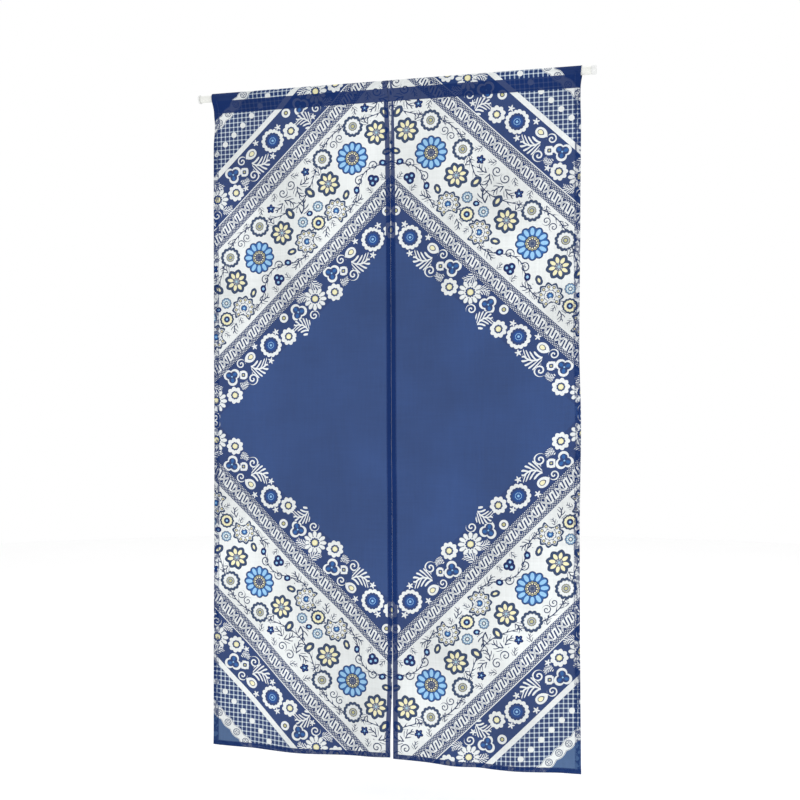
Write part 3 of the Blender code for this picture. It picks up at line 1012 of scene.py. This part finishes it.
def paint_stems(p, colour, kind, lx, ly):
    """Bent stems with leaves on both sides, half a step apart, that climb and taper outwards."""
    bent = lx - ly * ly * STEM_BEND + STEM_SHIFT
    width = abs(bent)
    side = (bent > 0.0) * 0.5
    reach = LEAF_REACH - ly * LEAF_NARROWING
    taper = (1.0 - (width / reach) ** LEAF_BLUNTNESS).most(0.0).root()
    for name, row in STEMS.items():
        climb = width * row["climb"] * (1.0 + width * row["more_climb"])
        thick = taper * row["thick"] * (LEAF_ROOT + width * LEAF_SWELL)
        leaf = abs((ly * row["leaves"] - climb + side).rest(1.0) - 0.5) < thick
        leafy = ((width < row["stem"]) * (ly < STEM_TOP)).most(leaf) * (abs(ly) < STEM_END)
        colour = p.mix(leafy * is_kind(kind, name), colour, ink(row["leaf_ink"]))
    return colour


def ink_of_kind(p, kind, part):
    """The ink of one part of the nearest motif, from a ramp with a stop for each kind of flower."""
    stops = [(0.0, ink(WHITE))]
    for n, flower in enumerate(FLOWERS.values()):
        stops.append(((n + 0.5) / RAMP_STOPS, ink(flower.get(part, WHITE))))
    return p.add("ShaderNodeValToRGB", dict(stops=stops), [(kind - 0.25) / RAMP_STOPS])


def paint_flowers(p, colour, place):
    """Every motif at its place: rings out to a scalloped rim, petals, dots, and the thin line motifs."""
    lx, ly, kind = p.parts(place)
    petals, scallop, tip = p.parts(p.attribute("motif_rim"))
    middle, half_long, half_wide = p.parts(p.attribute("motif_petal"))
    dot_ring, dot_size, outlined = p.parts(p.attribute("motif_dots"))
    radius = (lx * lx + ly * ly).root()
    angle = ly.math("ARCTAN2", lx)
    half = math.pi / petals
    off_axis = angle.fold(half)
    share = radius / (1.0 - scallop * (off_axis / half) ** tip)
    notch = (1.0 - abs(angle) / FAN_ANGLE).most(0.0) * FAN_NOTCH
    share = share * (1.0 + is_kind(kind, "palmette") * notch)
    forward = radius * off_axis.cos()
    sideways = radius * off_axis.sin()
    petal_tip = tip.most(BLUNTEST_PETAL)
    petal = (((forward - middle) / half_long) ** 2.0 + (sideways / half_wide) ** petal_tip) < 1.0
    to_dot = ((forward - dot_ring) * (forward - dot_ring) + sideways * sideways).root()
    flower = colour
    for name, row in FLOWERS.items():
        stops = [(begins, ink(ring_ink)) for begins, ring_ink in row["rings"]]
        rings = p.add("ShaderNodeValToRGB", dict(stops=stops), [share])
        flower = p.mix(is_kind(kind, name), flower, rings)
    flower = p.mix(petal, flower, ink_of_kind(p, kind, "petal_ink"))
    flower = p.mix((to_dot < dot_size + DOT_OUTLINE) * outlined, flower, ink(LINE))
    flower = p.mix(to_dot < dot_size, flower, ink_of_kind(p, kind, "dot_ink"))
    in_flower = (kind > 0.5) * (kind < len(FLOWERS) + 0.5) * (share < 1.0)
    colour = p.mix(in_flower, colour, flower)
    colour = paint_curls(p, colour, kind, radius, angle)
    return paint_stems(p, colour, kind, lx, ly)


# How far double cloth hides the print, and how much more in the blotches of the side and bottom hems
SIDE_HEM_HIDES, SIDE_HEM_BLOTCHES = 0.16, 0.62
CENTRE_HEM_HIDES = 0.93
BOTTOM_HEM_HIDES, BOTTOM_HEM_BLOTCHES = 0.88, 0.08
CASING_HIDES = 0.955
CASING_HIDES_FROM = 20.0
DOUBLE_PASSES_LESS = 0.6
BLOTCHES = (150.0, 150.0, 110.0)

# Weave: the spacing of its threads, and slubs along the upright and the level threads. Then painted shade: a
# slow drift in brightness standing in for the broad shading of the folds.
THREAD_SPACING = 0.55
WEAVE_OPENNESS = 0.4
UPRIGHT_SLUBS = (260.0, 260.0, 14.0)
LEVEL_SLUBS = (14.0, 14.0, 260.0)
SLUB_TONE = 0.18
SHADE_DRIFT_PER_METRE = 5.0
SHADE_DRIFT_TONE = 0.70
MEAN_TONE = 0.99


def printed_cloth():
    """Sheer voile with its print: the bands are straight strips out from the middle, mirrored both ways."""
    p = Paint("printed_voile")
    x, z, depth = p.parts(p.attribute("print_place"))
    ax, az = abs(x), abs(z)
    out = ax * OUT_X + az * OUT_Z
    along = ax * OUT_Z - az * OUT_X

    white = ((out > WHITE_BAND_FROM) * (out < WHITE_BAND_TO)).most((out > LINE_FROM) * (out < LINE_TO))
    white = white.most((out > STRIPE_FROM) * (out < STRIPE_TO))
    colour = p.mix(white, ink(NAVY), ink(WHITE))
    colour = p.mix(out < FIELD_END, colour, ink(FIELD))
    colour = paint_vines(p, colour, along, out)
    flowered = (out < LATTICE_1 - LATTICE_HALF).most((out > WHITE_BAND_FROM) * (out < WHITE_BAND_TO))
    flowered = flowered.most((out > LINE_TO) * (out < STRIPE_FROM))
    colour = p.mix(flowered, colour, paint_flowers(p, colour, p.attribute("motif_place")))
    interlaced = (out > LATTICE_1 - LATTICE_HALF) * (out < WHITE_BAND_FROM)
    interlaced = interlaced.most((out > WHITE_BAND_TO) * (out < LINE_FROM))
    colour = p.mix(interlaced, colour, paint_lattice(p, colour, along, out))
    colour = paint_gingham(p, colour, x, z, along, out)
    colour = paint_lace(p, colour, z, along, out)

    low, high, bottom = p.parts(p.attribute("hem_place"))
    left_panel = x < 0.0
    from_side = left_panel * low + (1.0 - left_panel) * high
    from_centre = left_panel * high + (1.0 - left_panel) * low
    threads = p.object_place()
    blotch = p.noise(p.stretch(threads, BLOTCHES), 1.0) > 0.5
    side_hem = (from_side < SIDE_HEM) * (SIDE_HEM_HIDES + blotch * SIDE_HEM_BLOTCHES)
    centre_hem = (from_centre < CENTRE_HEM) * CENTRE_HEM_HIDES
    bottom_hem = (bottom < BOTTOM_HEM) * (BOTTOM_HEM_HIDES + blotch * BOTTOM_HEM_BLOTCHES)
    casing = (depth > CASING_HIDES_FROM) * (depth < CASING_DEPTH) * CASING_HIDES
    turned = p.attribute("layer", number=True) < 0.0
    backed = side_hem.most(centre_hem).most(bottom_hem).most(casing).most(turned)
    colour = p.mix(backed, colour, ink(BACKING))

    slubs = p.noise(p.stretch(threads, UPRIGHT_SLUBS), 1.0) + p.noise(p.stretch(threads, LEVEL_SLUBS), 1.0)
    # Painted shade: a slow random lightening and darkening of the cloth's colour, standing in for the broad
    # shading of its folds under the lights
    painted_shade_drift = p.noise(threads, SHADE_DRIFT_PER_METRE, detail=3.0) - 0.5
    tone = (slubs - 1.0) * SLUB_TONE + painted_shade_drift * SHADE_DRIFT_TONE + MEAN_TONE
    tint = p.add("ShaderNodeVectorMath", dict(operation="SCALE"), {0: colour, 3: tone})
    weave = (x * (math.pi / THREAD_SPACING)).sin() * (z * (math.pi / THREAD_SPACING)).sin()
    # A Math node takes a colour as its brightness, so pale cloth passes more light than dark cloth
    passes = colour * ((WHITE_PASSES - DARK_PASSES) * LIGHT_ON_CLOTH) + DARK_PASSES
    alpha = 1.0 - passes * (1.0 + weave * WEAVE_OPENNESS) * (1.0 - backed * DOUBLE_PASSES_LESS)
    threads_bump = p.bump(weave + slubs * 1.5, strength=0.35, distance=0.00012)
    return p.finish(Base_Color=tint, Roughness=0.92, Alpha=alpha, Normal=threads_bump,
                    Sheen_Weight=0.02, Sheen_Roughness=0.6, Specular_IOR_Level=0.08)


# Colours of the thread, the rod, its caps and the floor: each the two that a soft noise goes between
THREAD_COLOURS = (58, 76, 126), (84, 102, 150)
ROD_COLOURS = (205, 206, 201), (211, 212, 208)
ROD_SCUFF = (200, 200, 195)
SCUFF_FROM, SCUFF_COVERS = 0.66, 0.35
CAP_COLOURS = (200, 201, 200), (209, 210, 209)
FLOOR_COLOURS = (248, 248, 248), (250, 250, 250)


def thread_paint():
    """Blue polyester thread with the twist of its plies."""
    p = Paint("topstitch_thread")
    twist = (p.parts(p.object_place())[2] * 9000.0).sin()
    soft = p.noise(p.object_place(), 900.0)
    colour = p.mix(soft, ink(THREAD_COLOURS[0]), ink(THREAD_COLOURS[1]))
    plies = p.bump(twist, strength=0.3, distance=0.0001)
    return p.finish(Base_Color=colour, Roughness=0.6 + soft * 0.2, Normal=plies)


def rod_paint():
    """Baked white enamel on thin steel, with a faint ripple and fine scuffs."""
    p = Paint("white_enamel")
    place = p.object_place()
    ripple = p.noise(p.stretch(place, (40.0, 400.0, 400.0)), 1.0)
    scuffs = p.noise(p.stretch(place, (900.0, 120.0, 120.0)), 1.0, detail=4.0)
    colour = p.mix(ripple, linear(ROD_COLOURS[0]), linear(ROD_COLOURS[1]))
    colour = p.mix((scuffs > SCUFF_FROM) * SCUFF_COVERS, colour, linear(ROD_SCUFF))
    faint = p.bump(ripple, strength=0.12, distance=0.0004)
    return p.finish(Base_Color=colour, Roughness=0.30 + scuffs * 0.16, Normal=faint)


def cap_paint():
    """Moulded off-white plastic with a fine matt grain."""
    p = Paint("moulded_cap")
    grain = p.noise(p.object_place(), 2600.0, detail=3.0)
    cloud = p.noise(p.object_place(), 160.0)
    colour = p.mix(cloud, linear(CAP_COLOURS[0]), linear(CAP_COLOURS[1]))
    fine = p.bump(grain, strength=0.25, distance=0.0001)
    return p.finish(Base_Color=colour, Roughness=0.48 + grain * 0.18, Normal=fine)


# Camera, in metres, with its lens and film width in millimetres
CAMERA_PLACE = Vector((0.8072, -2.6348, -0.7089))
CAMERA_AIM = Vector((0.0268, 0.0, -0.6988))
CAMERA_LENS = 55.87
CAMERA_FILM = 36.0


def camera():
    """The camera, at the photograph's viewing angle."""
    data = bpy.data.cameras.new("camera")
    data.lens = CAMERA_LENS
    data.sensor_width = CAMERA_FILM
    item = bpy.data.objects.new("camera", data)
    bpy.context.scene.collection.objects.link(item)
    item.location = CAMERA_PLACE
    item.rotation_euler = (CAMERA_AIM - CAMERA_PLACE).to_track_quat("-Z", "Y").to_euler()
    bpy.context.scene.camera = item


# Floor, in metres: the radii of its rings, the points in each, and its height
FLOOR_RINGS = np.array([0.0, 1.0, 2.0, 3.5, 6.0])
FLOOR_POINTS = 64
FLOOR_Z = -1.62


def floor():
    """A round pale floor below the curtain, in rings about its middle."""
    turn = np.arange(FLOOR_POINTS) * 2 * math.pi / FLOOR_POINTS
    x = np.outer(FLOOR_RINGS, np.cos(turn))
    y = np.outer(FLOOR_RINGS, np.sin(turn))
    points = np.stack([x, y, np.full(x.shape, FLOOR_Z)], axis=-1)
    p = Paint("pale_floor")
    cloud = p.noise(p.object_place(), 2.0)
    colour = p.mix(cloud, linear(FLOOR_COLOURS[0]), linear(FLOOR_COLOURS[1]))
    material = p.finish(Base_Color=colour, Roughness=0.9)
    corner = np.arange(x.size).reshape(x.shape)
    after = np.roll(corner, -1, axis=1)
    faces = np.stack([corner[:-1], corner[1:], after[1:], after[:-1]], axis=-1).reshape(-1, 4)
    mesh_object("floor", points, faces, material)


# Soft lights: place in metres, width, height and watts. All face one point.
LIGHT_AIM = Vector((0.0, 0.0, -0.8))
LIGHTS = {
    "left_side": ((-1.5, -0.8, -0.75), 1.0, 2.0, 7.0),
    "right_side": ((1.5, -0.8, -0.75), 1.0, 2.0, 9.0),
    "front": ((1.3, -2.2, -1.2), 1.4, 1.4, 11.0),
    "top": ((0.3, 0.4, 3.2), 2.5, 2.5, 50.0),
}


def lights():
    """A bright white surround, a soft light at each side, and two more in front and above."""
    world = bpy.data.worlds.new("surround")
    world.use_nodes = True
    world.node_tree.nodes["Background"].inputs["Color"].default_value = (1.0, 1.0, 1.0, 1.0)
    world.node_tree.nodes["Background"].inputs["Strength"].default_value = 1.0
    bpy.context.scene.world = world
    for name, (place, width, height, watts) in LIGHTS.items():
        data = bpy.data.lights.new(name, "AREA")
        data.shape = "RECTANGLE"
        data.size = width
        data.size_y = height
        data.energy = watts
        item = bpy.data.objects.new(name, data)
        item.visible_camera = False
        item.location = place
        item.rotation_euler = (LIGHT_AIM - Vector(place)).to_track_quat("-Z", "Y").to_euler()
        bpy.context.scene.collection.objects.link(item)


def main():
    """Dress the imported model, and set up its camera, floor and lights."""
    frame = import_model()
    bpy.context.scene.view_settings.view_transform = "Standard"
    camera()
    cloth_material = printed_cloth()
    thread = thread_paint()
    for side in PANELS:
        cloth, flat = panel_cloth(side, cloth_material)
        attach(cloth, "root")
        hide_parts("panel_" + side)
        thread_piece = stitches(side, thread)
        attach(thread_piece, "root")
        flat[0] * MM
        flat[1] * MM
    finishes = {"rod_inner_tube": rod_paint(), "end_cap_left": cap_paint()}
    finishes["rod_outer_tube"] = finishes["rod_inner_tube"]
    finishes["end_cap_right"] = finishes["end_cap_left"]
    for node, material in finishes.items():
        frame["nodes"][node].material_slots[0].material = material
    floor()
    lights()


main()
